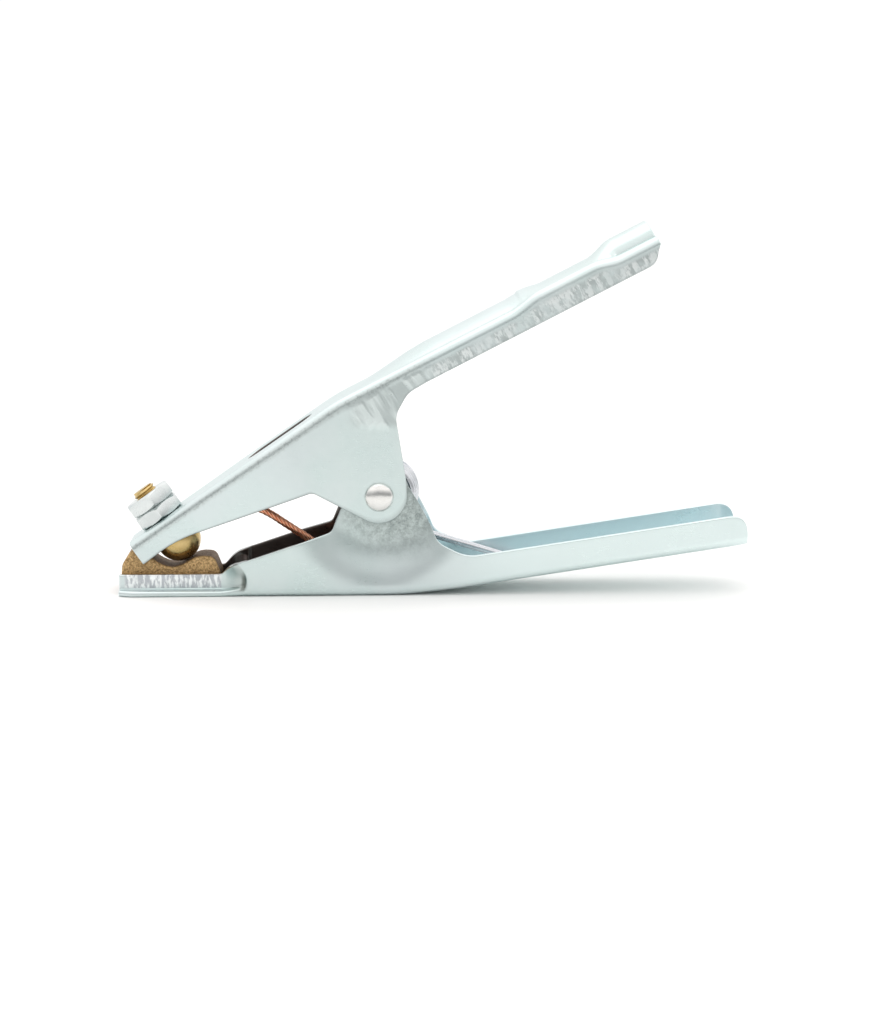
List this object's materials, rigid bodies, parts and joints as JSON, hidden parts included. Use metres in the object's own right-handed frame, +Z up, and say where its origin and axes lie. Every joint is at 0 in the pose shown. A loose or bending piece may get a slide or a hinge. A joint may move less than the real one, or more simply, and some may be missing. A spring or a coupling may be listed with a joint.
{
  "type": "ground clamp",
  "caption": "Spring-loaded welding ground clamp: two pressed steel channel arms on a riveted pivot, ball-headed stud in the upper jaw and cast contact pad in the lower jaw.",
  "frame": {"origin": "on the resting plane under the lower jaw, directly below the pivot axis, on the mid plane", "axes": "+X from the jaws to the handles, +Y to the far side, +Z up from the resting plane"},
  "size_m": [0.2087, 0.0332, 0.1227],
  "materials": {
    "zinc_plate": "bright zinc plating on pressed steel sheet",
    "cast_brass": "sand-cast brass, rough",
    "turned_brass": "turned brass",
    "zinc_nut": "zinc-plated steel",
    "copper": "bare copper",
    "copper_wire": "bare stranded copper",
    "rivet_steel": "plated steel, tumbled",
    "sleeve_steel": "drawn steel tube",
    "spring_steel": "plated spring wire"
  },
  "bodies": {
    "lower_body": {"lower_arm": "zinc_plate", "contact_pad": "cast_brass", "lower_lug": "copper", "lug_rivet": "rivet_steel", "copper_strand": "copper_wire", "pivot_sleeve": "sleeve_steel", "torsion_spring": "spring_steel"},
    "upper_body": {"upper_arm": "zinc_plate", "ball_stud": "turned_brass", "stud_nuts": "zinc_nut", "upper_lug": "copper", "pivot_rivet": "rivet_steel"}
  },
  "joints": [
    {"name": "jaw_pivot", "type": "hinge", "parent": "lower_body", "child": "upper_body", "pos_m": [0, 0, 0.033], "axis": [0, 1, 0], "range_deg": [0, 36], "stiffness_Nm_per_rad": 2, "springref_deg": -57.3, "deforming": ["torsion_spring", "copper_strand"]}
  ]
}
